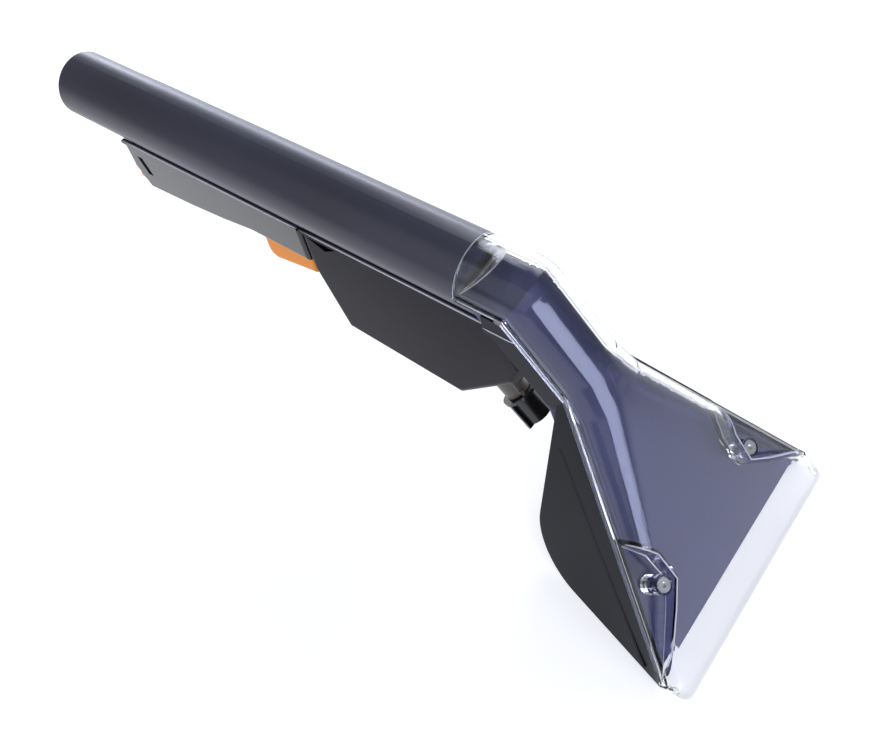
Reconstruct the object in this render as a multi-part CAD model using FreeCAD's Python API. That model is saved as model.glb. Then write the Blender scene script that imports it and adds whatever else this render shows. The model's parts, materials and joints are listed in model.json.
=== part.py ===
import FreeCAD, Part
import math
import os

# Hand tool of a carpet cleaner: suction tube with a trigger, clear fan-shaped head and spray nozzle.
# Millimetres. The origin is the centre of the tube's open rear end, +X runs forward along the tube,
# +Z is up and the trigger is below. The tool is symmetric about y = 0, apart from the pipework.

V = FreeCAD.Vector
Y_AXIS = V(0, 1, 0)

# ---------------------------------------------------------------- suction tube
TUBE_R = 16.0
TUBE_BORE_R = 14.0
CUFF_R = 15.8
CUFF_END = 30.0
CUFF_DRAFT = 30.0
TUBE_END = 252.0
COVER_START = 243.0
RIM_CHAMFER = 0.7

# ---------------------------------------------------------------- head: neck, then fan
BEND_X = 266.0
HEAD_ANGLE = 51.0
NECK_LENGTH = 44.0
NECK_HALF = 16.6
MOUTH_S = 166.0
MOUTH_HALF = 66.5
SOLE_Z = -134.0
BEYOND_S = 185.0
LINER_R = 12.2
LINER_CLEARANCE = 0.05
TRAY_NECK_HALF = 15.2
TRAY_NECK_DEPTH = 15.5
TRAY_END_DEPTH = 7.5
TRAY_WALL = 2.0
RIM_DROP = 2.0
RIM_END = 166.0
SEAL_THICK = 0.5

# ---------------------------------------------------------------- clear cover
COVER_WALL = 2.4
COVER_MOUTH_HEIGHT = 5.8
COVER_MOUTH_S = 176.0
COVER_BEND_R = 4.0
FLANGE_THICK = 1.7
LIP_THICK = 1.0
LIP_START = 262.5
LIP_HALF = 65.6
DRAW_TILT = 16.0
POCKET_FLOOR = 1.2
BOSS_TOP = 6.5
BOSS_R = 4.4
BOSS_S = 131.5
BOSS_Y = 38.2
SCREW_R = 1.7
SCREW_HEAD_R = 3.2
SCREW_LENGTH = 17.0

# ---------------------------------------------------------------- hood
CHEEK_REAR_X = 288.8
CHEEK_SOLE_HALF = 42.2
CHEEK_CORNER_R = 27.0
CHEEK_THICK = 2.1
PAN_THICK = 1.6
PANEL_START = 256.0
PANEL_DEPTH = 13.0

# ---------------------------------------------------------------- housings
HOUSING_HALF = 14.5
WALL = 2.0
LEDGE_HALF = 15.3
LEDGE_Z = -9.3
LEDGE_THICK = 1.5
TUBE_CLEARANCE = 0.15
GRIP_FILLET = 2.0
VALVE_FILLET = 4.0
GRIP_OUTLINE = [(37.6, LEDGE_Z), (36.6, -27.0), (41.6, -40.0), (73.0, -38.0), (97.0, -35.4),
                (118.0, -32.0), (155.4, -32.0), (155.4, LEDGE_Z)]
VALVE_OUTLINE = [(155.7, LEDGE_Z), (155.7, -35.0), (166.2, -74.6), (234.6, -79.6),
                 (267.4, -46.0), (272.2, -33.0), (264.0, LEDGE_Z)]
TRIGGER_GAP_X = 118.8
SIDE_SLOT = [(44.0, -17.2), (47.7, -17.2), (50.2, -28.2), (46.5, -28.2)]
SCOOP = [(157.9, -11.6), (179.0, -10.9), (169.5, -16.8)]

# ---------------------------------------------------------------- trigger and its pin
PIVOT_X = 164.0
PIVOT_Z = -27.0
PIN_R = 1.5
PIN_HOLE_R = 1.55
PIN_HALF = 13.6
TRIGGER_HALF = 12.0
TRIGGER_WALL = 1.8
ARM_HALF = 4.0
ARM_LENGTH = 14.0
NOSE_R = 3.0
TRIGGER_RIBS = 5
TRIGGER_ROUND = 1.4
TRIGGER_OUTLINE = [(122.6, -29.5), (121.6, -43.5), (122.8, -47.2), (126.2, -49.0), (153.4, -44.0),
                   (154.0, -36.0), (154.0, -29.5)]

# ---------------------------------------------------------------- spray valve
VALVE_X = PIVOT_X + ARM_LENGTH
VALVE_R = 6.5
VALVE_TOP = -38.0
VALVE_BOTTOM = -63.0
UPPER_BORE_R = 4.0
CHAMBER_R = 5.0
CHAMBER_FLOOR = -60.5
SEAT_Z = -50.5
SEAT_TOP = -49.3
SEAT_R = 3.0
PLUNGER_R = 2.2
PLUNGER_TOP = PIVOT_Z - 1.0 - NOSE_R - 0.3
PISTON_TOP = -41.6
PISTON_BOTTOM = -44.6
POPPET_TOP = -50.95
POPPET_BOTTOM = -53.0
POPPET_R = 4.3
PORT_OUTLET_Z = -47.0
PORT_INLET_Z = -56.5
BARB_R = 1.85

# ---------------------------------------------------------------- water coupling
COUPLING_Z = -23.0
SOCKET_START = 42.3
SOCKET_END = 62.0
SOCKET_R = 5.6
SOCKET_BORE_R = 3.2
SOCKET_BORE_LENGTH = 14.0
GROOVE_X = 46.1
GROOVE_WIDTH = 2.2
GROOVE_R = 4.3
LATCH_X = 39.8
LATCH_THICK = 2.2
LATCH_HALF = 8.9
LATCH_TOP = -17.8
LATCH_HOLE_R = 4.6
LATCH_DROP = 1.3
TAB_HALF = 12.0
TAB_OUTLINE = [(LATCH_X, -30.4), (LATCH_X + LATCH_THICK, -30.4), (LATCH_X + LATCH_THICK, -38.4),
               (36.6, -39.4), (32.6, -37.6), (33.9, -33.8), (31.8, -30.2), (34.2, -29.6)]

# ---------------------------------------------------------------- pipes
PIPE_R = 2.8
PIPE_BORE_R = 1.9
INLET_ROUTE = [(63.0, 0.0, COUPLING_Z), (76.0, 0.0, COUPLING_Z), (92.0, 6.0, -20.6), (108.0, 9.4, -19.9),
               (194.0, 9.4, -19.9), (208.0, 9.4, -25.0), (213.0, 9.4, -39.0), (211.0, 7.0, -52.0),
               (202.5, 0.0, PORT_INLET_Z), (VALVE_X + 9.5, 0.0, PORT_INLET_Z)]
CLAMP_R = 3.6
CLAMP_LENGTH = 4.0

# ---------------------------------------------------------------- spray nozzle
NOZZLE_X = 256.3
NOZZLE_Z = -77.8
NOZZLE_ANGLE = 48.5
STUB_R = 6.2
SPIGOT_R = 4.6
CAP_BORE_R = 4.65
CAP_R = 6.6
CAP_FLANGE_R = 8.9
CAP_FLANGE_THICK = 1.6
CAP_LENGTH = 15.6
WING_SPAN = 8.0
WING_THICK = 1.5
SLOT_IN_R = 6.9
SLOT_OUT_R = 8.2
LUG_GAP = 0.3
CAP_TURN = 45.0
TAB_ANGLE = 12.0


# ================================================================ small helpers
def box(x0, x1, y0, y1, z0, z1):
    return Part.makeBox(x1 - x0, y1 - y0, z1 - z0, V(x0, y0, z0))


def rod(radius, start, end):
    """A cylinder from one point to another."""
    a = V(*start)
    b = V(*end)
    return Part.makeCylinder(radius, (b - a).Length, a, b - a)


def ring(outer, inner, start, end):
    return rod(outer, start, end).cut(rod(inner, start, end))


def plate_y(outline, y0, y1):
    """An outline in X and Z, extruded along Y."""
    points = [V(x, y0, z) for x, z in outline]
    face = Part.Face(Part.makePolygon(points + points[:1]))
    return face.extrude(V(0, y1 - y0, 0))


def fuse_all(shapes):
    whole = shapes[0].multiFuse(shapes[1:])
    return whole.removeSplitter()


def mirrored(shape):
    return shape.mirror(V(0, 0, 0), Y_AXIS)


def both_sides(shape):
    return [shape, mirrored(shape)]


def save(shape, node):
    if not shape.isValid():
        print("invalid shape:", node)
    shape.exportStep("parts/" + node + ".step")
    print("%-18s solids %d volume %.1f" % (node, len(shape.Solids), shape.Volume))


def coil(radius, wire_r, x, y, z0, z1, turns):
    """A helical spring standing along Z, with its wire's outside between z0 and z1."""
    height = (z1 - z0) - 2 * wire_r
    helix = Part.makeHelix(height / turns, height, radius)
    profile = Part.Wire(Part.makeCircle(wire_r, V(radius, 0, 0), Y_AXIS))
    spring = Part.Wire(helix.Edges).makePipeShell([profile], True, True)
    spring.translate(V(x, y, z0 + wire_r))
    return spring


def route_wire(points):
    """Straight runs joined by tangent arcs, each as large as its two runs allow."""
    places = [V(*p) for p in points]
    edges = []
    last = places[0]
    for before, here, after in zip(places, places[1:], places[2:]):
        back = before - here
        ahead = after - here
        reach = 0.45 * min(back.Length, ahead.Length)
        start = here + V(back).normalize() * reach
        end = here + V(ahead).normalize() * reach
        half_turn = (math.pi - back.getAngle(ahead)) / 2
        radius = reach / math.tan(half_turn)
        inward = (V(back).normalize() + V(ahead).normalize()).normalize()
        middle = here + inward * (radius / math.cos(half_turn) - radius)
        edges.append(Part.LineSegment(last, start).toShape())
        edges.append(Part.Arc(start, middle, end).toShape())
        last = end
    edges.append(Part.LineSegment(last, places[-1]).toShape())
    return Part.Wire(edges)


def pipe(points):
    """A hollow pipe along a route."""
    path = route_wire(points)
    start = V(*points[0])
    direction = V(*points[1]) - start
    outer = path.makePipeShell([Part.Wire(Part.makeCircle(PIPE_R, start, direction))], True, False)
    inner = path.makePipeShell([Part.Wire(Part.makeCircle(PIPE_BORE_R, start, direction))], True, False)
    return outer.cut(inner)


# ================================================================ places along the head
ALONG = V(math.cos(math.radians(HEAD_ANGLE)), 0, -math.sin(math.radians(HEAD_ANGLE)))
ACROSS = V(math.sin(math.radians(HEAD_ANGLE)), 0, math.cos(math.radians(HEAD_ANGLE)))
BEND = V(BEND_X, 0, 0)
MITRE = V(math.tan(math.radians(HEAD_ANGLE / 2)), 0, 1)


def at_tube(x):
    """A place in the straight part: y sideways, h up from the parting plane."""
    return lambda y, h: V(x, y, h)


def at_mitre(y, h):
    return BEND + MITRE * h + Y_AXIS * y


def at_head(s):
    """A place s along the head from the bend."""
    return lambda y, h: BEND + ALONG * s + ACROSS * h + Y_AXIS * y


def rim_half(s):
    """Half the width of the parting rim, s along the head."""
    spread = (MOUTH_HALF - NECK_HALF) / (MOUTH_S - NECK_LENGTH)
    return NECK_HALF + max(0.0, s - NECK_LENGTH) * spread


def arc_edge(place, a, b, centre):
    """A quarter arc from a to b in a section, bulging away from its centre."""
    radius_a = math.hypot(a[0] - centre[0], a[1] - centre[1])
    toward = ((a[0] + b[0]) / 2 - centre[0], (a[1] + b[1]) / 2 - centre[1])
    size = math.hypot(toward[0], toward[1])
    middle = (centre[0] + toward[0] * radius_a / size, centre[1] + toward[1] * radius_a / size)
    return Part.Arc(place(*a), place(*middle), place(*b)).toShape()


def bowl_section(place, half, depth, corner, top):
    """A U-shaped section below the parting plane (depth > 0) or above it (depth < 0)."""
    sign = -1 if depth > 0 else 1
    deep = abs(depth)
    knee = sign * (deep - corner)
    floor = sign * deep
    low = [(-half, knee), (-half + corner, floor), (half - corner, floor), (half, knee)]
    p = [(-half, top)] + low + [(half, top)]
    edges = [
        Part.LineSegment(place(*p[0]), place(*p[1])).toShape(),
        arc_edge(place, p[1], p[2], (-half + corner, knee)),
        Part.LineSegment(place(*p[2]), place(*p[3])).toShape(),
        arc_edge(place, p[3], p[4], (half - corner, knee)),
        Part.LineSegment(place(*p[4]), place(*p[5])).toShape(),
        Part.LineSegment(place(*p[5]), place(*p[0])).toShape(),
    ]
    return Part.Wire(edges)


def loft(wires):
    return Part.makeLoft(wires, True, True)


def rect_section(place, y0, y1, h0, h1):
    points = [place(y0, h0), place(y1, h0), place(y1, h1), place(y0, h1)]
    return Part.makePolygon(points + points[:1])


def side_strip(start_x, inset, width, h0, h1):
    """A strip that follows the rim on the -Y side, from the tube to the mouth's corner."""
    stations = [(at_tube(start_x), NECK_HALF), (at_mitre, NECK_HALF), (at_head(NECK_LENGTH), NECK_HALF),
                (at_head(RIM_END), rim_half(RIM_END))]
    wires = []
    for place, half in stations:
        wires.append(rect_section(place, -half + inset, -half + inset + width, h0, h1))
    return loft(wires)


def above_parting(shape):
    """What lies above the parting plane, along the tube and along the head."""
    far = at_head(300.0)(0, 0)
    return shape.cut(plate_y([(200, 0), (BEND_X, 0), (far.x, far.z), (200, far.z)], -150, 150))


def above_sole(shape):
    return shape.cut(box(200, 460, -120, 120, SOLE_Z - 90, SOLE_Z))


def head_prism(outline, h0, h1, tilt=0.0):
    """An outline in (s, y) on the head's parting plane, extruded from h0 to h1 along the draw direction."""
    draw = ACROSS - ALONG * math.tan(math.radians(tilt))
    points = [at_head(s)(y, 0) + draw * h0 for s, y in outline]
    return Part.Face(Part.makePolygon(points + points[:1])).extrude(draw * (h1 - h0))


def head_rod(radius, s, y, h0, h1):
    """A rod across the head along the draw direction, centred on (s, y) at the parting plane."""
    draw = (ACROSS - ALONG * math.tan(math.radians(DRAW_TILT))).normalize()
    start = at_head(s)(y, 0) + draw * h0
    return Part.makeCylinder(radius, h1 - h0, start, draw)


# ================================================================ suction tube and head
def suction_tube():
    cuff_land = rod(CUFF_R, (0, 0, 0), (CUFF_END, 0, 0))
    draft = Part.makeCone(CUFF_R, TUBE_R, CUFF_DRAFT, V(CUFF_END, 0, 0), V(1, 0, 0))
    straight = rod(TUBE_R, (CUFF_END + CUFF_DRAFT, 0, 0), (TUBE_END, 0, 0))
    tube = fuse_all([cuff_land, draft, straight])
    grip_lug = box(97, 107, -4, 4, -24, -10)
    valve_lug = box(210, 218, -11, -4, -26, -8)
    tube = tube.multiFuse([grip_lug, valve_lug])
    tube = tube.cut(rod(TUBE_BORE_R, (-1, 0, 0), (TUBE_END + 1, 0, 0)))
    tube = tube.cut(box(COVER_START, TUBE_END + 1, -20, 20, -RIM_DROP - 0.05, 20))
    lead_in = Part.makeCone(TUBE_BORE_R + RIM_CHAMFER, TUBE_BORE_R, RIM_CHAMFER, V(0, 0, 0), V(1, 0, 0))
    tube = tube.cut(lead_in)
    pilots = [rod(1.25, (102, 0, -25), (102, 0, -17.5)), rod(1.25, (214, -7.5, -27), (214, -7.5, -16.5))]
    return tube.cut(pilots[0]).cut(pilots[1])


def tray_outside(grow):
    """Outside of the tray below the parting plane, grown by a clearance."""
    top = -SEAL_THICK
    return loft([
        bowl_section(at_tube(TUBE_END + 0.1), TUBE_R - 0.2 + grow, TUBE_R + grow, TUBE_R - 0.8, top),
        bowl_section(at_mitre, TRAY_NECK_HALF + grow, TRAY_NECK_DEPTH + grow, 2.5, top),
        bowl_section(at_head(NECK_LENGTH), TRAY_NECK_HALF + grow, TRAY_NECK_DEPTH + grow, 2.5, top),
        bowl_section(at_head(BEYOND_S), rim_half(BEYOND_S) - 2.6 + grow, TRAY_END_DEPTH + grow, 2.5, top),
    ])


def tray_inside():
    """The suction channel below the parting plane."""
    end_half = rim_half(BEYOND_S) - 5.2
    return loft([
        bowl_section(at_tube(COVER_START - 12), LINER_R, LINER_R, LINER_R - 0.1, 1.0),
        bowl_section(at_tube(TUBE_END), LINER_R, LINER_R, LINER_R - 0.1, 1.0),
        bowl_section(at_mitre, LINER_R + 0.6, TRAY_NECK_DEPTH - TRAY_WALL - 1.4, 9.0, 1.0),
        bowl_section(at_head(NECK_LENGTH), LINER_R + 0.8, TRAY_NECK_DEPTH - TRAY_WALL - 0.6, 8.0, 1.0),
        bowl_section(at_head(BEYOND_S), end_half, TRAY_END_DEPTH - TRAY_WALL, 3.0, 1.0),
    ])


def head_tray():
    liner = rod(TUBE_BORE_R - LINER_CLEARANCE, (COVER_START - 10, 0, 0), (TUBE_END + 2, 0, 0))
    liner = liner.cut(box(200, 300, -20, 20, -SEAL_THICK, 20))
    slant = plate_y([(COVER_START, 2), (COVER_START - 8.5, -16), (200, -16), (200, 2)], -20, 20)
    liner = liner.cut(slant)
    rim = side_strip(COVER_START + 0.2, LIP_THICK + 0.1, 3.1, -RIM_DROP, -SEAL_THICK)
    tray = fuse_all([tray_outside(0.0), liner] + both_sides(rim))
    tray = tray.cut(tray_inside())
    bosses = []
    for side in (-1, 1):
        post = head_rod(3.4, BOSS_S, side * BOSS_Y, -14.0, -5.6)
        bosses.append(post)
    tray = fuse_all([tray] + bosses)
    for side in (-1, 1):
        tray = tray.cut(head_rod(SCREW_R - 0.2, BOSS_S, side * BOSS_Y, -13.0, 0.0))
        outline = [(160.0, side * 95.0), (160.0, side * 62.0), (176.0, side * 59.0), (200.0, side * 59.0),
                   (200.0, side * 95.0)]
        tray = tray.cut(head_prism(outline, -14.0, 2.0))
    return above_sole(tray)


def cover_height(s):
    slope = (TUBE_R - COVER_MOUTH_HEIGHT) / (COVER_MOUTH_S - NECK_LENGTH)
    return TUBE_R - max(0.0, s - NECK_LENGTH) * slope


def cover_shell(inset, low):
    """Outside (inset 0) or inside (inset = wall) of the cover, down to h = low."""
    wires = []
    height = TUBE_R - inset
    corner = height - 0.2
    first = COVER_START if inset == 0 else COVER_START - 1
    wires.append(bowl_section(at_tube(first), height, -height, corner, low))
    centre_x = BEND_X - COVER_BEND_R * math.tan(math.radians(HEAD_ANGLE / 2))
    steps = 6
    for i in range(steps + 1):
        angle = math.radians(HEAD_ANGLE * i / steps)
        out = V(math.sin(angle), 0, math.cos(angle))
        base = V(centre_x, 0, -COVER_BEND_R) + out * COVER_BEND_R
        place = lambda y, h, base=base, out=out: base + out * h + Y_AXIS * y
        wires.append(bowl_section(place, height, -height, corner, low))
    for s in (NECK_LENGTH - 4, NECK_LENGTH + 10, 150.0, 162.0, 168.0, BEYOND_S):
        tall = cover_height(s) - inset
        corner = min(tall - 0.3, 14.8 - inset)
        half = max(TUBE_R, rim_half(s) - 1.6)
        if s > 162.0:
            half = LIP_HALF if s < BEYOND_S else LIP_HALF - 2.0
            corner = min(corner, 3.4)
        wires.append(bowl_section(at_head(s), half - inset, -tall, corner, low))
    return loft(wires)


POCKET = [(101.0, 40.4), (118.0, 33.4), (134.0, 33.2), (143.0, 42.3), (153.6, 54.8), (161.0, 63.5),
          (161.0, 90.0), (101.0, 90.0)]


def pocket_outline(grow, side):
    """The corner pocket's outline at the parting plane, grown towards the middle of the head."""
    points = []
    for s, y in POCKET:
        shift = -grow if s <= 101.0 else (grow if s >= 161.0 else 0.0)
        inward = grow if y < 80 else 0.0
        points.append((s + shift, side * (y - inward)))
    return points


def clear_cover():
    outside = cover_shell(0.0, 0.0)
    inside = cover_shell(COVER_WALL, -1.0)
    rims = side_strip(COVER_START, 0.0, 4.1, 0.0, FLANGE_THICK)
    solid = fuse_all([outside] + both_sides(rims))
    hollow = inside
    for side in (-1, 1):
        solid = solid.cut(head_prism(pocket_outline(0.0, side), POCKET_FLOOR, 30.0, DRAW_TILT))
        hollow = hollow.cut(head_prism(pocket_outline(COVER_WALL, side), -3.0, 30.0, DRAW_TILT))
    cover = above_parting(solid.cut(hollow))
    lip = side_strip(LIP_START, 0.0, LIP_THICK, -RIM_DROP, 0.0)
    cover = fuse_all([cover] + both_sides(lip))
    for side in (-1, 1):
        web = head_prism(pocket_outline(0.5, side), 0.0, POCKET_FLOOR, DRAW_TILT).common(outside)
        boss = head_rod(BOSS_R, BOSS_S, side * BOSS_Y, -5.2, BOSS_TOP)
        cover = cover.fuse(web).fuse(boss)
    for side in (-1, 1):
        cover = cover.cut(head_rod(SCREW_R + 0.1, BOSS_S, side * BOSS_Y, -6.0, BOSS_TOP + 1))
        cover = cover.cut(head_rod(SCREW_HEAD_R + 0.1, BOSS_S, side * BOSS_Y, BOSS_TOP - 1.6, BOSS_TOP + 1))
    return above_sole(cover.removeSplitter())


def cover_screws():
    screws = []
    for side in (-1, 1):
        shank = head_rod(SCREW_R - 0.25, BOSS_S, side * BOSS_Y, BOSS_TOP - SCREW_LENGTH, BOSS_TOP - 1.5)
        head = head_rod(SCREW_HEAD_R, BOSS_S, side * BOSS_Y, BOSS_TOP - 1.5, BOSS_TOP + 0.3)
        drive = head_rod(1.2, BOSS_S, side * BOSS_Y, BOSS_TOP - 0.8, BOSS_TOP + 1.0)
        screws.append(shank.fuse(head).removeSplitter().cut(drive))
    return Part.makeCompound(screws)


def cover_seal():
    strip = side_strip(COVER_START + 0.2, LIP_THICK + 0.3, 1.8, -SEAL_THICK, 0.0)
    return Part.makeCompound([above_sole(s) for s in both_sides(strip)])


def cheek():
    """The -Y cheek of the hood: a ruled plate from the rim down to the sole."""
    end_x = 371.0
    top_h = -RIM_DROP - 0.1
    spread = (MOUTH_HALF - NECK_HALF) / (MOUTH_S - NECK_LENGTH)
    rear_s = (CHEEK_REAR_X - 6.0 - BEND_X - top_h * ACROSS.x) / ALONG.x
    stations = []
    for s in (rear_s, MOUTH_S):
        top = at_head(s)(0, top_h)
        half_top = NECK_HALF - 0.1 + (s - NECK_LENGTH) * spread
        share = (top.x - CHEEK_REAR_X) / (end_x - CHEEK_REAR_X)
        half_sole = CHEEK_SOLE_HALF + share * (MOUTH_HALF - 0.1 - CHEEK_SOLE_HALF)
        stations.append([V(top.x, -half_top, top.z), V(top.x, -half_sole, SOLE_Z),
                         V(top.x, -half_sole + CHEEK_THICK, SOLE_Z),
                         V(top.x, -half_top + CHEEK_THICK, top.z)])
    plate = loft([Part.makePolygon(p + p[:1]) for p in stations])
    top = SOLE_Z + CHEEK_CORNER_R
    corner = box(CHEEK_REAR_X - 20, CHEEK_REAR_X + CHEEK_CORNER_R, -100, 0, SOLE_Z - 1, top)
    centre = (CHEEK_REAR_X + CHEEK_CORNER_R, SOLE_Z + CHEEK_CORNER_R)
    corner = corner.cut(rod(CHEEK_CORNER_R, (centre[0], -101, centre[1]), (centre[0], 1, centre[1])))
    behind = box(CHEEK_REAR_X - 30, CHEEK_REAR_X, -100, 0, SOLE_Z - 1, 0)
    return plate.cut(corner).cut(behind)


def neck_panel():
    """The flat -Y side of the neck, which runs into the cheek."""
    edge = -RIM_DROP - 0.1
    top_end = at_head(NECK_LENGTH + 2)(0, edge)
    low_mitre = at_mitre(0, -PANEL_DEPTH)
    low_end = at_head(NECK_LENGTH)(0, -PANEL_DEPTH)
    high_mitre = at_mitre(0, edge)
    outline = [(PANEL_START, edge), (high_mitre.x, edge), (top_end.x, top_end.z), (top_end.x, -44.0),
               (CHEEK_REAR_X, -46.0), (low_end.x, low_end.z), (low_mitre.x, -PANEL_DEPTH),
               (PANEL_START, -PANEL_DEPTH)]
    return plate_y(outline, -NECK_HALF + 0.1, -TRAY_NECK_HALF - 0.1)


def spray_hood():
    cheeks = both_sides(cheek()) + both_sides(neck_panel())
    sections = []
    rise = (TRAY_NECK_DEPTH - TRAY_END_DEPTH) / (BEYOND_S - NECK_LENGTH)
    for s in (64.0, 160.0):
        low = -TRAY_NECK_DEPTH + (s - NECK_LENGTH) * rise - 0.1
        half = rim_half(s) - 1.0
        sections.append(rect_section(at_head(s), -half, half, low - PAN_THICK, low))
    pan = loft(sections)
    hood = fuse_all([pan] + cheeks).cut(tray_outside(0.1))
    for side in (-1, 1):
        hood = hood.cut(head_rod(3.7, BOSS_S, side * BOSS_Y, -20.0, -2.0))
    return above_sole(hood)


# ================================================================ housings
def rounded_channel(outline, half, radius):
    """A channel's outside: the outline extruded, with its lower long edges rounded."""
    body = plate_y(outline, -half, half)
    edges = []
    for edge in body.Edges:
        middle = edge.CenterOfMass
        on_side = abs(abs(middle.y) - half) < 0.01
        if on_side and middle.z < LEDGE_Z - 0.1:
            edges.append(edge)
    return body.makeFillet(radius, edges)


def offset_outline(outline, distance):
    """The outline moved inwards, as a face extruded over the inner width."""
    points = [V(x, 0, z) for x, z in outline]
    wire = Part.makePolygon(points + points[:1]).makeOffset2D(-distance)
    return Part.Face(wire)


def channel(outline, half, radius):
    body = rounded_channel(outline, half, radius)
    inner_half = half - WALL
    cavity = offset_outline(outline, WALL)
    cavity.translate(V(0, -inner_half, 0))
    cavity = cavity.extrude(V(0, 2 * inner_half, 0))
    low_x = min(x for x, z in outline) + WALL
    high_x = max(x for x, z in outline) - 3 * WALL
    mouth = box(low_x, high_x, -inner_half, inner_half, LEDGE_Z - WALL - 1.0, LEDGE_Z + 5)
    return body.cut(cavity).cut(mouth)


def ledges(x0, x1):
    strip = box(x0, x1, HOUSING_HALF - WALL, LEDGE_HALF, LEDGE_Z - LEDGE_THICK, LEDGE_Z)
    return both_sides(strip)


def clear_of_tube(shape):
    return shape.cut(rod(TUBE_R + TUBE_CLEARANCE, (-5, 0, 0), (TUBE_END + 6, 0, 0)))


def grip_housing():
    body = channel(GRIP_OUTLINE, HOUSING_HALF, GRIP_FILLET)
    body = fuse_all([body] + ledges(37.7, 155.3))
    boss = rod(3.6, (102, 0, -36), (102, 0, -24.1))
    body = fuse_all([body, boss])
    inner = HOUSING_HALF - WALL
    body = body.cut(box(TRIGGER_GAP_X, 160, -inner, inner, -50, -15))
    body = body.cut(box(30, 45, -inner, inner, -50, -26.4))
    body = body.cut(rod(6.6, (30, 0, COUPLING_Z), (43, 0, COUPLING_Z)))
    body = body.cut(plate_y(SIDE_SLOT, -20, 20))
    body = body.cut(rod(1.7, (102, 0, -50), (102, 0, -20)))
    body = body.cut(rod(3.3, (102, 0, -50), (102, 0, -31.5)))
    cradle = box(52, 56, -inner, inner, -38, -20)
    cradle = cradle.cut(rod(SOCKET_R + 0.05, (50, 0, COUPLING_Z), (60, 0, COUPLING_Z)))
    cradle = cradle.cut(box(50, 60, -SOCKET_R, SOCKET_R, COUPLING_Z, 0))
    body = fuse_all([body, cradle.common(rounded_channel(GRIP_OUTLINE, HOUSING_HALF, GRIP_FILLET))])
    return clear_of_tube(body)


def valve_housing():
    body = channel(VALVE_OUTLINE, HOUSING_HALF, VALVE_FILLET)
    body = fuse_all([body] + ledges(157.0, 263.8))
    inner = HOUSING_HALF - WALL
    body = body.cut(box(150, 158.2, -inner, inner, -33.2, 0))
    body = body.cut(box(150, 158.2, -ARM_HALF - 5, ARM_HALF + 5, -35.5, 0))
    shelf = box(164.5, 187, -inner, inner, VALVE_BOTTOM - 2.1, VALVE_BOTTOM - 0.1)
    boss = rod(3.8, (214, -7.5, -77), (214, -7.5, -26.1))
    outside = rounded_channel(VALVE_OUTLINE, HOUSING_HALF, VALVE_FILLET)
    body = fuse_all([body, shelf.common(outside), boss.common(outside)])
    for side in (-1, 1):
        ear = rod(3.6, (PIVOT_X, side * (inner + 0.2), PIVOT_Z), (PIVOT_X, side * (inner - 0.3), PIVOT_Z))
        body = body.fuse(ear)
    reach = PIN_HALF + 0.05
    body = body.cut(rod(PIN_HOLE_R, (PIVOT_X, -reach, PIVOT_Z), (PIVOT_X, reach, PIVOT_Z)))
    body = body.cut(plate_y(SCOOP, -20, -inner + 0.6)).cut(plate_y(SCOOP, inner - 0.6, 20))
    body = body.cut(rod(1.7, (214, -7.5, -85), (214, -7.5, -20)))
    body = body.cut(rod(3.3, (214, -7.5, -85), (214, -7.5, -40)))
    body = body.cut(nozzle_rod(STUB_R + 0.1, -17.5, -5.0))
    body = body.cut(tray_outside(0.3))
    return clear_of_tube(body)


def housing_screws():
    screws = []
    for x, y, seat, length in ((102, 0, -31.5, 12.0), (214, -7.5, -40.0, 20.0)):
        shank = rod(1.2, (x, y, seat), (x, y, seat + length))
        head = rod(3.0, (x, y, seat - 2.2), (x, y, seat - 0.05))
        drive = rod(1.2, (x, y, seat - 3.0), (x, y, seat - 1.0))
        neck = rod(1.2, (x, y, seat - 0.1), (x, y, seat + 0.1))
        screws.append(fuse_all([shank, neck, head]).cut(drive))
    return Part.makeCompound(screws)


# ================================================================ trigger
def trigger():
    inner = TRIGGER_HALF - TRIGGER_WALL
    body = plate_y(TRIGGER_OUTLINE, -TRIGGER_HALF, TRIGGER_HALF)
    rounds = [e for e in body.Edges if abs(abs(e.CenterOfMass.y) - TRIGGER_HALF) < 0.01
              and e.CenterOfMass.z < -36.0]
    body = body.makeFillet(TRIGGER_ROUND, rounds)
    hollow = plate_y([(124.6, -20), (124.4, -36), (152.2, -36), (152.2, -20)], -inner, inner)
    body = body.cut(hollow)
    arm = plate_y([(150.5, -37.5), (152.6, -36.7), (PIVOT_X, -29.7), (VALVE_X, -30.0), (VALVE_X, -26.0),
                   (PIVOT_X, -24.5), (157, -24.9), (150.5, -30.2)], -ARM_HALF, ARM_HALF)
    nose = rod(NOSE_R, (VALVE_X, -ARM_HALF, PIVOT_Z - 1), (VALVE_X, ARM_HALF, PIVOT_Z - 1))
    hub = rod(3.1, (PIVOT_X, -11.9, PIVOT_Z), (PIVOT_X, 11.9, PIVOT_Z))
    ribs = []
    along = V(27.2, 0, 5.0).normalize()
    down = V(along.z, 0, -along.x)
    for i in range(TRIGGER_RIBS):
        at = V(126.2, 0, -49.0) + along * (4.5 + 4.4 * i)
        centre = at - down * 0.25
        reach = TRIGGER_HALF - 2.5
        ribs.append(rod(0.9, (centre.x, -reach, centre.z), (centre.x, reach, centre.z)))
    body = fuse_all([body, arm, nose, hub] + ribs)
    return body.cut(rod(PIN_HOLE_R, (PIVOT_X, -20, PIVOT_Z), (PIVOT_X, 20, PIVOT_Z)))


def trigger_pin():
    return rod(PIN_R, (PIVOT_X, -PIN_HALF, PIVOT_Z), (PIVOT_X, PIN_HALF, PIVOT_Z))


def trigger_spring():
    return coil(3.4, 0.5, 136.0, 0.0, -35.9, -16.2, 7)


# ================================================================ spray valve
def valve_rod(radius, z0, z1):
    return rod(radius, (VALVE_X, 0, z0), (VALVE_X, 0, z1))


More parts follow.
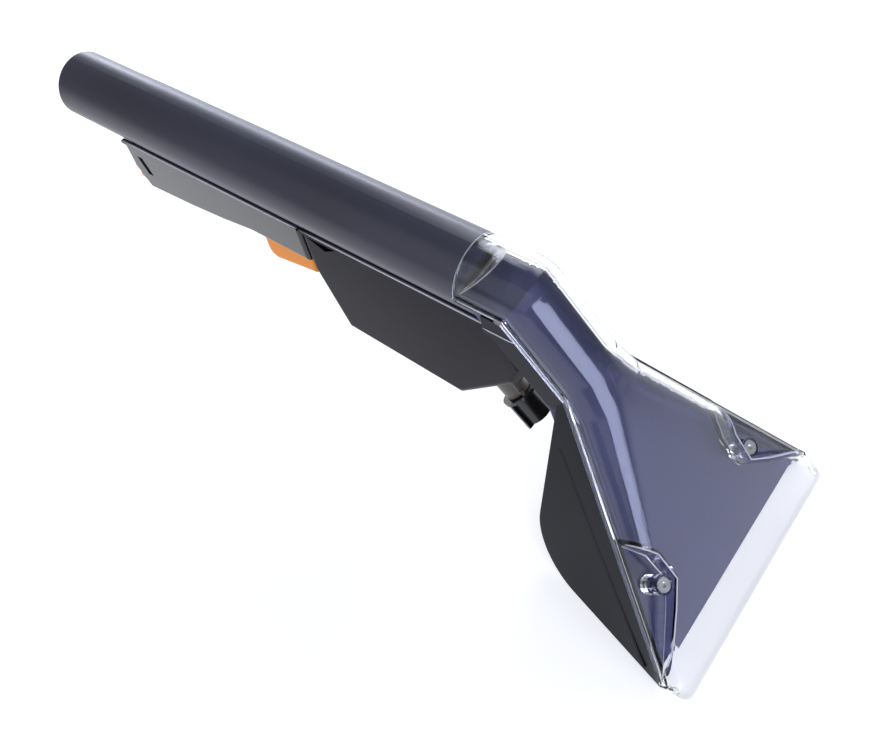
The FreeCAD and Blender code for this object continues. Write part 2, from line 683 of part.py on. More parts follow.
def valve_body():
    """Water enters the lower chamber and leaves above the seat."""
    body = valve_rod(VALVE_R, VALVE_BOTTOM, VALVE_TOP)
    ports = []
    for z in (PORT_INLET_Z, PORT_OUTLET_Z):
        ports.append(rod(3.2, (VALVE_X + 5.6, 0, z), (VALVE_X + 9.2, 0, z)))
        ports.append(rod(BARB_R, (VALVE_X + 9, 0, z), (VALVE_X + 17, 0, z)))
    body = fuse_all([body] + ports)
    for z in (PORT_INLET_Z, PORT_OUTLET_Z):
        body = body.cut(rod(1.1, (VALVE_X, 0, z), (VALVE_X + 18, 0, z)))
    body = body.cut(valve_rod(UPPER_BORE_R, SEAT_TOP, VALVE_TOP + 1))
    body = body.cut(valve_rod(SEAT_R, SEAT_Z - 1, SEAT_TOP + 1))
    return body.cut(valve_rod(CHAMBER_R, CHAMBER_FLOOR, SEAT_Z))


def valve_gland():
    """Hexagonal gland whose hole guides the plunger."""
    corners = []
    for i in range(7):
        angle = math.radians(60 * i)
        corners.append(V(VALVE_X + 7.4 * math.cos(angle), 7.4 * math.sin(angle), VALVE_TOP))
    gland = Part.Face(Part.makePolygon(corners)).extrude(V(0, 0, 3.4))
    gland = fuse_all([gland, valve_rod(UPPER_BORE_R - 0.02, VALVE_TOP - 3.0, VALVE_TOP)])
    return gland.cut(valve_rod(PLUNGER_R + 0.05, -50, -30))


def valve_plunger():
    """Pressing the stem takes the poppet down off the seat."""
    body = fuse_all([
        valve_rod(PLUNGER_R, PISTON_TOP, PLUNGER_TOP),
        valve_rod(UPPER_BORE_R - 0.06, PISTON_BOTTOM, PISTON_TOP),
        valve_rod(1.6, POPPET_TOP, PISTON_BOTTOM),
        valve_rod(POPPET_R, POPPET_BOTTOM, POPPET_TOP),
    ])
    middle = (PISTON_TOP + PISTON_BOTTOM) / 2
    side_groove = valve_rod(6, middle - 0.5, middle + 0.5).cut(valve_rod(3.05, middle - 1, middle + 1))
    face_groove = valve_rod(4.15, POPPET_TOP - 0.6, POPPET_TOP + 1)
    face_groove = face_groove.cut(valve_rod(3.15, POPPET_TOP - 1, POPPET_TOP + 2))
    return body.cut(side_groove).cut(face_groove)


def plunger_seals():
    middle = (PISTON_TOP + PISTON_BOTTOM) / 2
    piston_ring = Part.makeTorus(3.5, 0.43, V(VALVE_X, 0, middle), V(0, 0, 1))
    seat_ring = Part.makeTorus(3.65, 0.42, V(VALVE_X, 0, POPPET_TOP - 0.15), V(0, 0, 1))
    return Part.makeCompound([piston_ring, seat_ring])


def valve_spring():
    return coil(3.5, 0.4, VALVE_X, 0.0, CHAMBER_FLOOR + 0.05, POPPET_BOTTOM - 0.1, 4)


# ================================================================ water coupling
def inlet_socket():
    body = rod(SOCKET_R, (SOCKET_START, 0, COUPLING_Z), (SOCKET_END, 0, COUPLING_Z))
    barb = rod(BARB_R, (SOCKET_END - 0.5, 0, COUPLING_Z), (SOCKET_END + 8.5, 0, COUPLING_Z))
    body = body.fuse(barb).removeSplitter()
    body = body.cut(rod(SOCKET_BORE_R, (SOCKET_START - 1, 0, COUPLING_Z),
                        (SOCKET_START + SOCKET_BORE_LENGTH, 0, COUPLING_Z)))
    body = body.cut(rod(1.1, (SOCKET_START, 0, COUPLING_Z), (SOCKET_END + 10, 0, COUPLING_Z)))
    groove_end = GROOVE_X + GROOVE_WIDTH
    body = body.cut(ring(SOCKET_R + 1, GROOVE_R, (GROOVE_X, 0, COUPLING_Z), (groove_end, 0, COUPLING_Z)))
    seat_x = SOCKET_START + SOCKET_BORE_LENGTH - 3
    return body.cut(rod(SOCKET_BORE_R + 0.9, (seat_x, 0, COUPLING_Z), (seat_x + 1.8, 0, COUPLING_Z)))


def socket_oring():
    seat_x = SOCKET_START + SOCKET_BORE_LENGTH - 2.1
    return Part.makeTorus(SOCKET_BORE_R + 0.44, 0.43, V(seat_x, 0, COUPLING_Z), V(1, 0, 0))


def socket_clip():
    """A fork pushed in from the side, astride the socket's groove."""
    x0 = GROOVE_X + 0.1
    x1 = GROOVE_X + GROOVE_WIDTH - 0.1
    plate = box(x0, x1, -12.2, 6.0, COUPLING_Z - 5.0, COUPLING_Z + 5.0)
    gap = box(x0 - 1, x1 + 1, 0, 8, COUPLING_Z - GROOVE_R - 0.05, COUPLING_Z + GROOVE_R + 0.05)
    return plate.cut(gap).cut(rod(GROOVE_R + 0.05, (x0 - 1, 0, COUPLING_Z), (x1 + 1, 0, COUPLING_Z)))


def coupling_latch():
    """At rest its hole sits low, so the top of the hole stands in the groove of the water plug."""
    x0 = LATCH_X
    x1 = LATCH_X + LATCH_THICK
    hole_z = COUPLING_Z - LATCH_DROP
    ring_plate = box(x0, x1, -LATCH_HALF, LATCH_HALF, -33.0, LATCH_TOP)
    ring_plate = ring_plate.cut(rod(LATCH_HOLE_R, (x0 - 1, 0, hole_z), (x1 + 1, 0, hole_z)))
    tab = plate_y(TAB_OUTLINE, -TAB_HALF, TAB_HALF)
    ear = box(x0, x1, LATCH_HALF - 0.5, TAB_HALF, -31.0, -27.0)
    return fuse_all([ring_plate, tab, ear])


def latch_spring():
    return coil(1.1, 0.3, LATCH_X + LATCH_THICK / 2, 10.5, -26.95, -13.8, 7)


# ================================================================ pipes
def nozzle_point(t, offset=0.0):
    """A point t along the nozzle's axis, from the back face of its cap."""
    angle = math.radians(NOZZLE_ANGLE)
    return V(NOZZLE_X + t * math.cos(angle) + offset * math.sin(angle), 0,
             NOZZLE_Z - t * math.sin(angle) + offset * math.cos(angle))


def nozzle_rod(radius, t0, t1):
    a = nozzle_point(t0)
    return Part.makeCylinder(radius, t1 - t0, a, nozzle_point(t1) - a)


def outlet_route():
    end = nozzle_point(-27.0)
    turn = nozzle_point((NOZZLE_Z - PORT_OUTLET_Z) / math.sin(math.radians(NOZZLE_ANGLE)))
    return [(VALVE_X + 9.5, 0.0, PORT_OUTLET_Z), (turn.x, 0.0, turn.z), (end.x, 0.0, end.z)]


def pipe_clamps():
    spots = [(V(65, 0, COUPLING_Z), V(1, 0, 0)), (V(VALVE_X + 11, 0, PORT_INLET_Z), V(1, 0, 0)),
             (V(VALVE_X + 11, 0, PORT_OUTLET_Z), V(1, 0, 0)),
             (nozzle_point(-32.5), nozzle_point(1) - nozzle_point(0))]
    rings = []
    for start, direction in spots:
        outer = Part.makeCylinder(CLAMP_R, CLAMP_LENGTH, start, direction)
        rings.append(outer.cut(Part.makeCylinder(PIPE_R + 0.02, CLAMP_LENGTH, start, direction)))
    return Part.makeCompound(rings)


# ================================================================ spray nozzle
def sector(inner, outer, angle0, angle1, t0, t1):
    """A curved block about the nozzle's axis. Angle 0 points to -Y and 90 degrees up and forward."""
    origin = nozzle_point(t0)
    axis = nozzle_point(t1) - origin
    up = nozzle_point(t0, 1.0) - origin

    def at(radius, angle):
        a = math.radians(angle)
        return origin + V(0, -1, 0) * (radius * math.cos(a)) + up * (radius * math.sin(a))

    middle = (angle0 + angle1) / 2
    edges = [
        Part.Arc(at(inner, angle0), at(inner, middle), at(inner, angle1)).toShape(),
        Part.LineSegment(at(inner, angle1), at(outer, angle1)).toShape(),
        Part.Arc(at(outer, angle1), at(outer, middle), at(outer, angle0)).toShape(),
        Part.LineSegment(at(outer, angle0), at(inner, angle0)).toShape(),
    ]
    return Part.Face(Part.Wire(edges)).extrude(axis)


def lug_angles():
    """Where the holder's two lugs stand at rest."""
    start = 90.0 - CAP_TURN / 2
    return [start, start + 180.0]


def nozzle_holder():
    body = nozzle_rod(STUB_R, -22.0, -0.35)
    flange = nozzle_rod(9.0, -20.2, -17.4)
    barb = nozzle_rod(BARB_R, -34.5, -21.9)
    spigot = nozzle_rod(SPIGOT_R, -0.4, 8.9)
    body = fuse_all([body, flange, barb, spigot])
    outer = SLOT_OUT_R - LUG_GAP
    for angle in lug_angles():
        start = angle - TAB_ANGLE / 2
        foot = sector(STUB_R - 0.5, outer, start, start + TAB_ANGLE, -2.4, -0.35)
        hook = sector(SLOT_IN_R + LUG_GAP, outer, start, start + TAB_ANGLE, -0.4, 2.0)
        body = fuse_all([body, foot, hook])
    body = body.cut(nozzle_rod(SPIGOT_R + 1, 4.4, 5.6).cut(nozzle_rod(3.7, 4.4, 5.6)))
    return body.cut(nozzle_rod(1.1, -36.0, 10.0))


def nozzle_seal():
    centre = nozzle_point(5.0)
    return Part.makeTorus(4.16, 0.44, centre, nozzle_point(6.0) - centre)


def nozzle_cap():
    body = fuse_all([nozzle_rod(CAP_FLANGE_R, 0.0, CAP_FLANGE_THICK), nozzle_rod(CAP_R, 0.0, CAP_LENGTH)])
    wing_low = -WING_THICK / 2
    corners = [nozzle_point(t, wing_low) for t in (0.5, 16.4)]
    corners += [nozzle_point(t, wing_low + WING_THICK) for t in (16.4, 0.5)]
    wing = Part.Face(Part.makePolygon(corners + corners[:1]))
    wing.translate(V(0, -WING_SPAN - 0.6, 0))
    wing = wing.extrude(V(0, 2 * WING_SPAN + 1.2, 0))
    body = fuse_all([body, wing])
    for angle in lug_angles():
        body = body.cut(sector(SLOT_IN_R, SLOT_OUT_R, angle - TAB_ANGLE / 2 - CAP_TURN - 3,
                               angle + TAB_ANGLE / 2 + 3, -1.0, 3.4))
    body = body.cut(nozzle_rod(CAP_BORE_R, -1.0, 9.4))
    return body.cut(nozzle_rod(3.5, 9.0, 20.0))


def nozzle_strainer():
    """A thin pierced cup between spigot and tip."""
    cup = nozzle_rod(3.45, 9.5, 11.0).cut(nozzle_rod(3.0, 9.4, 10.6))
    for i in range(6):
        angle = math.radians(60 * i)
        a = nozzle_point(10.0, 1.8 * math.sin(angle)) + Y_AXIS * (1.8 * math.cos(angle))
        cup = cup.cut(Part.makeCylinder(0.35, 2.0, a, nozzle_point(1) - nozzle_point(0)))
    return cup


def spray_tip():
    """A flat-fan orifice: a slit across the outlet spreads the jet along Y."""
    tip = nozzle_rod(3.48, 11.05, 15.4).cut(nozzle_rod(1.6, 10.0, 13.6))
    tip = tip.cut(nozzle_rod(0.5, 12.0, 16.0))
    slit = [nozzle_point(14.2, 0.0), nozzle_point(15.6, 0.6), nozzle_point(15.6, -0.6)]
    wedge = Part.Face(Part.makePolygon(slit + slit[:1]))
    wedge.translate(V(0, -5, 0))
    return tip.cut(wedge.extrude(V(0, 10, 0)))


# ================================================================ write the parts
NODES = {
    "suction_tube": suction_tube,
    "head_tray": head_tray,
    "spray_hood": spray_hood,
    "clear_cover": clear_cover,
    "cover_screws": cover_screws,
    "cover_seal": cover_seal,
    "grip_housing": grip_housing,
    "valve_housing": valve_housing,
    "housing_screws": housing_screws,
    "trigger": trigger,
    "trigger_pin": trigger_pin,
    "trigger_spring": trigger_spring,
    "coupling_latch": coupling_latch,
    "latch_spring": latch_spring,
    "inlet_socket": inlet_socket,
    "socket_oring": socket_oring,
    "socket_clip": socket_clip,
    "inlet_pipe": lambda: pipe(INLET_ROUTE),
    "valve_body": valve_body,
    "valve_gland": valve_gland,
    "valve_plunger": valve_plunger,
    "plunger_seals": plunger_seals,
    "valve_spring": valve_spring,
    "outlet_pipe": lambda: pipe(outlet_route()),
    "pipe_clamps": pipe_clamps,
    "nozzle_holder": nozzle_holder,
    "nozzle_seal": nozzle_seal,
    "nozzle_strainer": nozzle_strainer,
    "nozzle_cap": nozzle_cap,
    "spray_tip": spray_tip,
}

os.makedirs("parts", exist_ok=True)
for name, make in NODES.items():
    save(make(), name)
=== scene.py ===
import json
import math

import bmesh
import bpy
from mathutils import Matrix, Vector
from mathutils.bvhtree import BVHTree


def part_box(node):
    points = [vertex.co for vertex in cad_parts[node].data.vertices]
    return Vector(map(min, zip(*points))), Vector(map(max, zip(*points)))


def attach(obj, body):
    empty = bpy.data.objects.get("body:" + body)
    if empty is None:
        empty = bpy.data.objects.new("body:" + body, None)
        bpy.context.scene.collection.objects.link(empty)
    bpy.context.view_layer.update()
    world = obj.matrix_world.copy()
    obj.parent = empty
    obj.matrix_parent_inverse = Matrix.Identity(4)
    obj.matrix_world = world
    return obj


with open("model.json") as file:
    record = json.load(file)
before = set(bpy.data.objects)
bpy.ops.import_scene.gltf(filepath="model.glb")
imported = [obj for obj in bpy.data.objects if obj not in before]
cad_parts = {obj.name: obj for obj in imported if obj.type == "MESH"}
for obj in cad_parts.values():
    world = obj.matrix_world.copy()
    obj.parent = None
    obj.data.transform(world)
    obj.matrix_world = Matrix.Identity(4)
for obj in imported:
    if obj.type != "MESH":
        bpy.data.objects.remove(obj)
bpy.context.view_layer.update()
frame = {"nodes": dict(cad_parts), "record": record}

NODES = frame["nodes"]
MM = 0.001
SOLE_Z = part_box("spray_hood")[0][2]

# ---------------------------------------------------------------- camera
CAMERA_AT = Vector((402.23, -171.13, 277.50)) * MM
CAMERA_RIGHT = Vector((0.79369, 0.59156, -0.14184)).normalized()
CAMERA_AHEAD = Vector((-0.4236, 0.3701, -0.8268)).normalized()
camera_down = CAMERA_AHEAD.cross(CAMERA_RIGHT).normalized()
CAMERA_RIGHT = camera_down.cross(CAMERA_AHEAD).normalized()
camera_data = bpy.data.cameras.new("camera")
camera_data.sensor_fit = "HORIZONTAL"
camera_data.sensor_width = 36.0
camera_data.lens = 37.52
camera_data.clip_start = 0.01
camera = bpy.data.objects.new("camera", camera_data)
camera.matrix_world = Matrix.Translation(CAMERA_AT) @ Matrix(
    (CAMERA_RIGHT, -camera_down, -CAMERA_AHEAD)).transposed().to_4x4()
bpy.context.scene.collection.objects.link(camera)
bpy.context.scene.camera = camera
bpy.context.scene.view_settings.view_transform = "Standard"

# ---------------------------------------------------------------- floor and light
world = bpy.data.worlds.new("studio")
world.use_nodes = True
world.node_tree.nodes["Background"].inputs["Color"].default_value = (0.93, 0.95, 1.0, 1.0)
world.node_tree.nodes["Background"].inputs["Strength"].default_value = 0.42
bpy.context.scene.world = world


def soft_light(name, at, toward, size, power, tint=(1.0, 1.0, 1.0)):
    data = bpy.data.lights.new(name, "AREA")
    data.shape = "RECTANGLE"
    data.size = size[0]
    data.size_y = size[1]
    data.energy = power
    data.color = tint
    light = bpy.data.objects.new(name, data)
    light.location = at
    light.rotation_euler = (Vector(toward) - Vector(at)).to_track_quat("-Z", "Y").to_euler()
    bpy.context.scene.collection.objects.link(light)
    return light


soft_light("key", (0.1, 1.15, 0.75), (0.2, 0.0, -0.03), (1.1, 0.8), 12.5, (0.88, 0.92, 1.0))
soft_light("horizon", (-0.75, 0.95, 0.10), (0.12, 0.0, 0.0), (1.2, 0.25), 7.0, (0.78, 0.84, 1.0))
soft_light("front_strip", (1.25, -0.34, 0.22), (0.31, -0.02, -0.04), (0.80, 0.46), 9.0, (0.66, 0.72, 1.0))
soft_light("fill", (0.3, -1.1, 0.9), (0.25, 0.0, -0.05), (2.4, 1.6), 6.5)


# ---------------------------------------------------------------- materials
GRAIN_SCALE = 900.0
GRAIN_HEIGHT = 0.00002
COLOUR_SPREAD = 0.18


def new_material(name):
    material = bpy.data.materials.new(name)
    material.use_nodes = True
    tree = material.node_tree
    return material, tree, tree.nodes["Principled BSDF"]


def noise(tree, coordinates, scale, detail=3.0, roughness=0.5):
    node = tree.nodes.new("ShaderNodeTexNoise")
    node.inputs["Scale"].default_value = scale
    node.inputs["Detail"].default_value = detail
    node.inputs["Roughness"].default_value = roughness
    tree.links.new(coordinates, node.inputs["Vector"])
    return node


def ramp(tree, value, low, high, start, end):
    """Maps a value between low and high onto start to end."""
    node = tree.nodes.new("ShaderNodeMapRange")
    node.inputs["From Min"].default_value = low
    node.inputs["From Max"].default_value = high
    node.inputs["To Min"].default_value = start
    node.inputs["To Max"].default_value = end
    tree.links.new(value, node.inputs["Value"])
    return node.outputs["Result"]


def mix_colour(tree, factor, first, second):
    node = tree.nodes.new("ShaderNodeMix")
    node.data_type = "RGBA"
    tree.links.new(factor, node.inputs["Factor"])
    for socket, value in ((node.inputs[6], first), (node.inputs[7], second)):
        if isinstance(value, bpy.types.NodeSocket):
            tree.links.new(value, socket)
        else:
            socket.default_value = (*value, 1.0)
    return node.outputs[2]


def add_bump(tree, shader, height, distance, strength=1.0):
    node = tree.nodes.new("ShaderNodeBump")
    node.inputs["Distance"].default_value = distance
    node.inputs["Strength"].default_value = strength
    tree.links.new(height, node.inputs["Height"])
    tree.links.new(node.outputs["Normal"], shader.inputs["Normal"])


def plastic(name, colour, roughness=0.35, shine=0.5, worn=0.25, coat=0.0):
    """Moulded plastic: fine grain, cloudy gloss, slight colour drift, paler rubbed edges and stray scuffs."""
    material, tree, shader = new_material(name)
    places = tree.nodes.new("ShaderNodeTexCoord").outputs["Object"]
    cloud = noise(tree, places, 14.0, 4.0)
    fine = noise(tree, places, GRAIN_SCALE, 2.0)
    scuff_place = tree.nodes.new("ShaderNodeMapping")
    scuff_place.inputs["Scale"].default_value = (40.0, 260.0, 220.0)
    tree.links.new(places, scuff_place.inputs["Vector"])
    scuffs = noise(tree, scuff_place.outputs["Vector"], 3.0, 5.0, 0.65)
    edge = ramp(tree, tree.nodes.new("ShaderNodeNewGeometry").outputs["Pointiness"], 0.53, 0.62, 0.0, worn)
    dark = tuple(c * (1.0 - COLOUR_SPREAD) for c in colour)
    light = tuple(c * (1.0 + COLOUR_SPREAD) for c in colour)
    rubbed = tuple(min(1.0, c * 1.9 + 0.02) for c in colour)
    body = mix_colour(tree, ramp(tree, cloud.outputs["Fac"], 0.3, 0.7, 0.0, 1.0), dark, light)
    tree.links.new(mix_colour(tree, edge, body, rubbed), shader.inputs["Base Color"])
    gloss = tree.nodes.new("ShaderNodeMath")
    gloss.operation = "ADD"
    cloudy = ramp(tree, cloud.outputs["Fac"], 0.3, 0.7, roughness * 0.88, roughness * 1.1)
    tree.links.new(cloudy, gloss.inputs[0])
    tree.links.new(ramp(tree, scuffs.outputs["Fac"], 0.62, 0.78, 0.0, 0.12), gloss.inputs[1])
    tree.links.new(gloss.outputs["Value"], shader.inputs["Roughness"])
    shader.inputs["Specular IOR Level"].default_value = shine
    shader.inputs["Coat Weight"].default_value = coat
    shader.inputs["Coat Roughness"].default_value = 0.15
    add_bump(tree, shader, fine.outputs["Fac"], GRAIN_HEIGHT)
    return material


def metal(name, colour, roughness=0.3, brushed=(900.0, 60.0, 60.0)):
    """Turned or drawn metal: fine tool lines, slight tarnish."""
    material, tree, shader = new_material(name)
    places = tree.nodes.new("ShaderNodeTexCoord").outputs["Object"]
    stretch = tree.nodes.new("ShaderNodeMapping")
    stretch.inputs["Scale"].default_value = brushed
    tree.links.new(places, stretch.inputs["Vector"])
    lines = noise(tree, stretch.outputs["Vector"], 4.0, 3.0)
    tarnish = noise(tree, places, 180.0, 4.0)
    duller = tuple(c * 0.62 for c in colour)
    tree.links.new(mix_colour(tree, ramp(tree, tarnish.outputs["Fac"], 0.42, 0.7, 0.0, 0.8), colour, duller),
                   shader.inputs["Base Color"])
    tree.links.new(ramp(tree, lines.outputs["Fac"], 0.3, 0.7, roughness * 0.8, roughness * 1.3),
                   shader.inputs["Roughness"])
    shader.inputs["Metallic"].default_value = 1.0
    add_bump(tree, shader, lines.outputs["Fac"], 0.00001)
    return material


def clear_plastic(name, colour, roughness=0.03):
    """Clear moulded plastic with faint haze, hairline scratches and slow waves."""
    material, tree, shader = new_material(name)
    places = tree.nodes.new("ShaderNodeTexCoord").outputs["Object"]
    haze = noise(tree, places, 30.0, 4.0)
    hair_place = tree.nodes.new("ShaderNodeMapping")
    hair_place.inputs["Scale"].default_value = (50.0, 900.0, 50.0)
    hair_place.inputs["Rotation"].default_value = (0.2, 0.9, 0.5)
    tree.links.new(places, hair_place.inputs["Vector"])
    hair = noise(tree, hair_place.outputs["Vector"], 2.0, 2.0)
    waves = noise(tree, places, 22.0, 1.0)
    gloss = tree.nodes.new("ShaderNodeMath")
    gloss.operation = "ADD"
    hazy = ramp(tree, haze.outputs["Fac"], 0.3, 0.7, roughness * 0.5, roughness * 1.5)
    tree.links.new(hazy, gloss.inputs[0])
    tree.links.new(ramp(tree, hair.outputs["Fac"], 0.72, 0.8, 0.0, 0.1), gloss.inputs[1])
    tree.links.new(gloss.outputs["Value"], shader.inputs["Roughness"])
    tint = tuple(c * 0.985 for c in colour)
    tree.links.new(mix_colour(tree, haze.outputs["Fac"], colour, tint), shader.inputs["Base Color"])
    shader.inputs["IOR"].default_value = 1.36
    shader.inputs["Transmission Weight"].default_value = 1.0
    add_bump(tree, shader, waves.outputs["Fac"], 0.0001, 0.5)
    return material


def rubber(name, colour):
    material, tree, shader = new_material(name)
    places = tree.nodes.new("ShaderNodeTexCoord").outputs["Object"]
    dust = noise(tree, places, 120.0, 5.0)
    pale = tuple(c * 1.8 + 0.012 for c in colour)
    tree.links.new(mix_colour(tree, ramp(tree, dust.outputs["Fac"], 0.45, 0.75, 0.0, 0.6), colour, pale),
                   shader.inputs["Base Color"])
    tree.links.new(ramp(tree, dust.outputs["Fac"], 0.3, 0.7, 0.55, 0.8), shader.inputs["Roughness"])
    add_bump(tree, shader, dust.outputs["Fac"], 0.00003)
    return material


MATERIALS = {
    "tube_plastic": plastic("tube_plastic", (0.017, 0.017, 0.034), 0.34, 0.58),
    "tray_plastic": plastic("tray_plastic", (0.060, 0.066, 0.140), 0.34, 0.13),
    "hood_plastic": plastic("hood_plastic", (0.006, 0.006, 0.010), 0.40, 0.10),
    "housing_plastic": plastic("housing_plastic", (0.006, 0.0055, 0.009), 0.36, 0.06),
    # grip_plastic and housing_plastic are one moulding; the grip's base colour is painted about twice as
    # light, as painted light on its differently facing sides.
    "grip_plastic": plastic("grip_plastic", (0.012, 0.011, 0.013), 0.22, 0.5, coat=0.2),
    "clear_plastic": clear_plastic("clear_plastic", (0.975, 0.978, 0.995)),
    "orange_plastic": plastic("orange_plastic", (0.72, 0.22, 0.004), 0.36, 0.16, worn=0.2),
    "screw_steel": metal("screw_steel", (0.62, 0.62, 0.63), 0.28),
    "spring_steel": metal("spring_steel", (0.66, 0.66, 0.67), 0.22),
    "seal_rubber": rubber("seal_rubber", (0.02, 0.02, 0.02)),
    "pipe_plastic": plastic("pipe_plastic", (0.50, 0.51, 0.50), 0.38, worn=0.1),
    "fitting_plastic": plastic("fitting_plastic", (0.05, 0.048, 0.045), 0.4),
    "stub_plastic": plastic("stub_plastic", (0.11, 0.095, 0.08), 0.34),
    "cap_plastic": plastic("cap_plastic", (0.010, 0.010, 0.011), 0.26, coat=0.3),
    "valve_brass": metal("valve_brass", (0.72, 0.55, 0.28), 0.26),
    "mesh_steel": metal("mesh_steel", (0.55, 0.55, 0.56), 0.32),
    "tip_plastic": plastic("tip_plastic", (0.13, 0.14, 0.15), 0.4),
}

for entry in frame["record"]["subparts"]:
    node = NODES[entry["node"]]
    for slot in node.material_slots:
        slot.material = MATERIALS[entry["material_slot"]]

# ---------------------------------------------------------------- pieces made here
def swept_tube(name, points, radius, material, body, sides=12, taper=0.0):
    """A thin rounded rod through the points, closed at both ends."""
    mesh = bmesh.new()
    rings = []
    path = [Vector(p) for p in points]
    for i, place in enumerate(path):
        ahead = (path[min(i + 1, len(path) - 1)] - path[max(i - 1, 0)]).normalized()
        side = ahead.cross(Vector((0.0, 0.0, 1.0)))
        if side.length < 0.01:
            side = Vector((0.0, 1.0, 0.0))
        side.normalize()
        up = side.cross(ahead).normalized()
        size = radius * (1.0 - taper if i in (0, len(path) - 1) else 1.0)
        ring = []
        for k in range(sides):
            turn = 2.0 * math.pi * k / sides
            ring.append(mesh.verts.new(place + side * (size * math.cos(turn)) + up * (size * math.sin(turn))))
        rings.append(ring)
    for first, second in zip(rings, rings[1:]):
        for k in range(sides):
            mesh.faces.new((first[k], first[(k + 1) % sides], second[(k + 1) % sides], second[k]))
    mesh.faces.new(list(reversed(rings[0])))
    mesh.faces.new(rings[-1])
    bmesh.ops.recalc_face_normals(mesh, faces=mesh.faces)
    return add_piece(name, mesh, material, body)


def add_piece(name, mesh, material, body):
    data = bpy.data.meshes.new(name)
    mesh.to_mesh(data)
    mesh.free()
    data.materials.append(material)
    for face in data.polygons:
        face.use_smooth = True
    piece = bpy.data.objects.new(name, data)
    bpy.context.scene.collection.objects.link(piece)
    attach(piece, body)
    return piece


# Each ledge of the housings has a raised bead on its edge and a soft roll behind it; the bead is pale grey
# plastic as a painted highlight along the seam, and the roll is the tube's own plastic.
LEDGE_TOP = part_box("grip_housing")[1][2]
LEDGE_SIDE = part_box("grip_housing")[1][1]
# Pale grey bead colour: painted highlight of the seam line, not the housing's own colour.
highlight_bead_material = plastic("painted_highlight_bead_plastic", (0.42, 0.43, 0.46), 0.25, 0.6, worn=0.1)
SIDES = ((-1, "near"), (1, "far"))
LEDGE_SPANS = ((0.0382, 0.1550, "grip"), (0.1575, 0.2632, "valve"))
for side, label in SIDES:
    for start, end, part in LEDGE_SPANS:
        line = [(start + (end - start) * i / 12, side * (LEDGE_SIDE - 0.0004), LEDGE_TOP + 0.0001)
                for i in range(13)]
        swept_tube("ledge_highlight_bead_" + part + "_" + label, line, 0.0004, highlight_bead_material, "root",
                   taper=0.5)
        groove = [(start + (end - start) * i / 12, side * (LEDGE_SIDE - 0.00125), LEDGE_TOP - 0.0002)
                  for i in range(13)]
        swept_tube("ledge_roll_" + part + "_" + label, groove, 0.00075, MATERIALS["tube_plastic"], "root",
                   taper=0.5)
    # The short neck crease uses the same pale grey plastic: a painted highlight line.
    crease = [(0.2562 + 0.0148 * i / 6, side * 0.01655, LEDGE_TOP - 0.0001) for i in range(7)]
    swept_tube("neck_highlight_bead_" + label, crease, 0.0003, highlight_bead_material, "root", taper=0.7)

# The screws' threads, seen through the clear bosses.
SCREW_LEAN = math.radians(35.0)
SCREW_AXIS = Vector((math.sin(SCREW_LEAN), 0.0, math.cos(SCREW_LEAN)))
THREAD_TURNS = 14
THREAD_STEPS = 18
screw_low, screw_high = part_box("cover_screws")
screw_side = SCREW_AXIS.cross(Vector((0.0, 1.0, 0.0)))
for side, label in SIDES:
    middle = (Vector(screw_low) + Vector(screw_high)) / 2.0
    middle.y = side * (screw_high[1] - 0.0032)
    thread = []
    for i in range(THREAD_TURNS * THREAD_STEPS + 1):
        turn = 2.0 * math.pi * i / THREAD_STEPS
        out = screw_side * math.cos(turn) + Vector((0.0, 1.0, 0.0)) * math.sin(turn)
        thread.append(middle + SCREW_AXIS * (-0.0078 + 0.0009 * i / THREAD_STEPS) + out * 0.00142)
    swept_tube("screw_thread_" + label, thread, 0.0002, MATERIALS["screw_steel"], "root",
               sides=6, taper=0.8)

# The clear cover's rear edge, rounded where it meets the tube, drawn as a pale grey rod: a painted highlight
# along the edge.
rear_edge_highlight_material = plastic("rear_edge_highlight_plastic", (0.60, 0.61, 0.66), 0.2, 0.7, worn=0.1)
arch = []
for i in range(41):
    turn = math.radians(-5.0 + 190.0 * i / 40)
    arch.append((0.2430, -0.01572 * math.cos(turn), 0.01572 * math.sin(turn)))
swept_tube("cover_rear_edge_highlight", arch, 0.00027, rear_edge_highlight_material, "root", taper=0.6)

# The collar that centres the cover on the tube: a thin sleeve cut off on the slant.
COLLAR_R = 0.0132
collar_material = clear_plastic("collar_plastic", (0.80, 0.79, 0.83), 0.10)
# Pale grey rim along the slanted cut: a painted highlight on the collar's edge.
collar_rim_highlight_material = plastic("collar_rim_highlight_plastic", (0.50, 0.50, 0.54), 0.22, 0.6, worn=0.1)
collar = bmesh.new()
columns = []
slant = []
for i in range(49):
    turn = math.radians(6.0 + 150.0 * i / 48)
    reach = 0.2436 + 0.0124 * math.sin(turn)
    column = []
    for radius in (COLLAR_R, COLLAR_R - 0.0004):
        for along in (0.2433, 0.2433 + (reach - 0.2433) * 0.5, reach):
            column.append(collar.verts.new((along, -radius * math.cos(turn), radius * math.sin(turn))))
    columns.append(column)
    slant.append((reach, -COLLAR_R * math.cos(turn), COLLAR_R * math.sin(turn)))
for first, second in zip(columns, columns[1:]):
    for a, b in ((0, 1), (1, 2), (2, 5), (5, 4), (4, 3), (3, 0)):
        collar.faces.new((first[a], first[b], second[b], second[a]))
for column in (columns[0], columns[-1]):
    collar.faces.new([column[k] for k in (0, 1, 2, 5, 4, 3)])
bmesh.ops.recalc_face_normals(collar, faces=collar.faces)
add_piece("cover_collar", collar, collar_material, "root")
swept_tube("cover_collar_rim_highlight", slant, 0.00022, collar_rim_highlight_material, "root", taper=0.6)
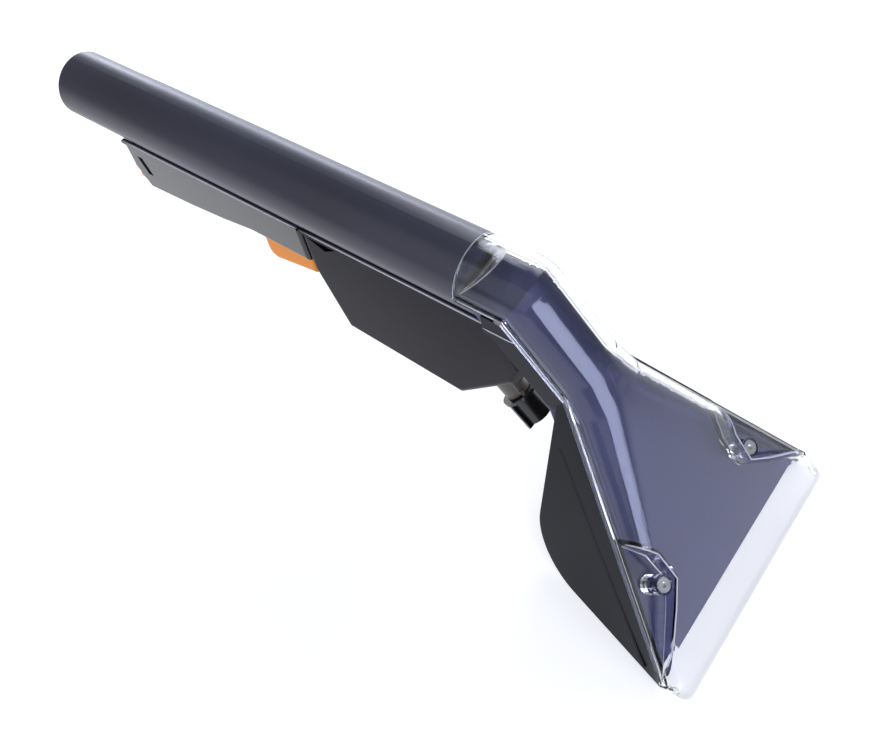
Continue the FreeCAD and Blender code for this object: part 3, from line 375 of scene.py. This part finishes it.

# The edges of the cover's corner pockets are rounded over; pale opaque rods along their upper and lower edges
# are painted highlights, paler than the clear wall.
HEAD_BEND = Vector((0.2660, 0.0, 0.0))
HEAD_SLOPE = math.radians(51.0)
HEAD_ALONG = Vector((math.cos(HEAD_SLOPE), 0.0, -math.sin(HEAD_SLOPE)))
HEAD_ACROSS = Vector((math.sin(HEAD_SLOPE), 0.0, math.cos(HEAD_SLOPE)))
POCKET_OUTLINE = ((101.0, 40.4), (118.0, 33.4), (134.0, 33.2), (143.0, 42.3), (153.6, 54.8), (161.0, 63.5))
# Pale lavender grey: painted highlight on the rounded pocket edges.
pocket_highlight_material = plastic("pocket_edge_highlight_plastic", (0.46, 0.44, 0.52), 0.3, 0.5, worn=0.1)
cover_node = NODES["clear_cover"]
cover_surface = BVHTree.FromPolygons([cover_node.matrix_world @ v.co for v in cover_node.data.vertices],
                                     [list(f.vertices) for f in cover_node.data.polygons])
for side, label in SIDES:
    upper = []
    lower = []
    for (s0, y0), (s1, y1) in zip(POCKET_OUTLINE, POCKET_OUTLINE[1:]):
        steps = max(2, round(math.hypot(s1 - s0, y1 - y0) / 1.2))
        for i in range(steps):
            s = (s0 + (s1 - s0) * i / steps) * MM
            y = (y0 + (y1 - y0) * i / steps) * MM
            place = HEAD_BEND + HEAD_ALONG * s + Vector((0.0, side * y, 0.0))
            outer = place - Vector((0.0, side * 0.0004, 0.0))
            hit = cover_surface.ray_cast(outer + SCREW_AXIS * 0.03, -SCREW_AXIS)[0]
            if hit is not None and (hit - outer).dot(HEAD_ACROSS) > 0.0030:
                upper.append(hit - SCREW_AXIS * 0.0001)
                lower.append(place + Vector((0.0, side * 0.0003, 0.0)) + SCREW_AXIS * 0.0015)
    swept_tube("pocket_edge_highlight_" + label, upper, 0.0003, pocket_highlight_material, "root", taper=0.6)
    swept_tube("pocket_foot_highlight_" + label, lower, 0.00014, pocket_highlight_material, "root", sides=8,
               taper=0.6)

# ---------------------------------------------------------------- floor
floor_mesh = bpy.data.meshes.new("floor")
half = 6.0
floor_z = SOLE_Z - 0.0005
floor_mesh.from_pydata([(-half, -half, floor_z), (half, -half, floor_z), (half, half, floor_z),
                        (-half, half, floor_z)], [], [(0, 1, 2, 3)])
floor = bpy.data.objects.new("floor", floor_mesh)
bpy.context.scene.collection.objects.link(floor)
floor_material, floor_tree, floor_shader = new_material("floor_paper")
floor_places = floor_tree.nodes.new("ShaderNodeTexCoord").outputs["Object"]
floor_noise = noise(floor_tree, floor_places, 3.0, 3.0)
floor_colour = mix_colour(floor_tree, floor_noise.outputs["Fac"], (0.76, 0.76, 0.765), (0.78, 0.78, 0.78))
floor_tree.links.new(floor_colour, floor_shader.inputs["Base Color"])
floor_shader.inputs["Roughness"].default_value = 0.9
floor_shader.inputs["Emission Color"].default_value = (1.0, 1.0, 1.0, 1.0)
floor_shader.inputs["Emission Strength"].default_value = 0.46
floor_mesh.materials.append(floor_material)
